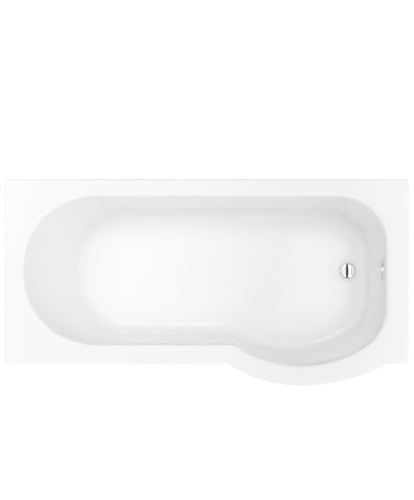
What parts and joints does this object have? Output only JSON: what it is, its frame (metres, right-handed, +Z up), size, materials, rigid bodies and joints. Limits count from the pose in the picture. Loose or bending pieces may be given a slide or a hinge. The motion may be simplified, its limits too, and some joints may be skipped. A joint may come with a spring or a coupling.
{
  "type": "shower bath",
  "caption": "P-shaped shower bath: white acrylic basin with a round shower bulge, chrome click waste and overflow, on adjustable feet.",
  "frame": {"origin": "on the floor under the middle of the rim's outer size", "axes": "+X towards the waste end, +Y towards the wall side, +Z up"},
  "size_m": [1.675, 0.856, 0.56],
  "materials": {
    "acrylic": "vacuum-formed gloss",
    "glass_fibre": "rough laid-up glass fibre",
    "laid_resin": "rough laid-up resin",
    "chipboard": "raw board",
    "softwood": "sawn",
    "galvanised_steel": "galvanised",
    "zinc_plated_steel": "bright zinc",
    "black_nylon": "moulded",
    "chrome_plate": "polished",
    "seal_rubber": "moulded",
    "white_polypropylene": "moulded satin",
    "hose_polythene": "ribbed satin",
    "grey_polypropylene": "moulded satin",
    "brass": "turned",
    "spring_steel": "drawn wire"
  },
  "bodies": {
    "bath": {"bath_shell": "acrylic", "grp_backing": "glass_fibre", "baseboard": "chipboard", "board_encapsulation": "laid_resin", "batten_back": "softwood", "batten_front": "softwood", "batten_bulge": "softwood", "batten_head": "softwood", "batten_foot": "softwood", "rail_head": "galvanised_steel", "rail_foot": "galvanised_steel", "rail_screws": "zinc_plated_steel", "centre_plate": "galvanised_steel", "centre_plate_screws": "zinc_plated_steel", "lock_nuts_upper": "zinc_plated_steel", "lock_nuts_lower": "zinc_plated_steel", "wall_brackets": "galvanised_steel", "bracket_screws": "zinc_plated_steel", "waste_gasket_top": "seal_rubber", "waste_flange": "chrome_plate", "waste_gasket_bottom": "seal_rubber", "waste_body": "white_polypropylene", "click_cartridge": "brass", "click_spring": "spring_steel", "overflow_cover": "chrome_plate", "overflow_screw": "chrome_plate", "overflow_gasket": "seal_rubber", "overflow_body": "white_polypropylene", "overflow_hose": "hose_polythene", "hose_nuts": "grey_polypropylene"},
    "plug": {"waste_plug": "chrome_plate", "plug_seal": "seal_rubber"},
    "foot_head_back": {"foot_rod_head_back": "zinc_plated_steel", "foot_pad_head_back": "black_nylon"},
    "foot_head_front": {"foot_rod_head_front": "zinc_plated_steel", "foot_pad_head_front": "black_nylon"},
    "foot_waste_back": {"foot_rod_waste_back": "zinc_plated_steel", "foot_pad_waste_back": "black_nylon"},
    "foot_waste_front": {"foot_rod_waste_front": "zinc_plated_steel", "foot_pad_waste_front": "black_nylon"},
    "foot_centre": {"foot_rod_centre": "zinc_plated_steel", "foot_pad_centre": "black_nylon"}
  },
  "joints": [
    {"name": "plug_click", "type": "slide", "parent": "bath", "child": "plug", "axis": [0, 0, 1], "range_m": [0, 0.009]},
    {"name": "foot_head_back_adjust", "type": "slide", "parent": "bath", "child": "foot_head_back", "axis": [0, 0, 1], "range_m": [-0.015, 0.015]},
    {"name": "foot_head_front_adjust", "type": "slide", "parent": "bath", "child": "foot_head_front", "axis": [0, 0, 1], "range_m": [-0.015, 0.015]},
    {"name": "foot_waste_back_adjust", "type": "slide", "parent": "bath", "child": "foot_waste_back", "axis": [0, 0, 1], "range_m": [-0.015, 0.015]},
    {"name": "foot_waste_front_adjust", "type": "slide", "parent": "bath", "child": "foot_waste_front", "axis": [0, 0, 1], "range_m": [-0.015, 0.015]},
    {"name": "foot_centre_adjust", "type": "slide", "parent": "bath", "child": "foot_centre", "axis": [0, 0, 1], "range_m": [-0.015, 0.015]}
  ]
}
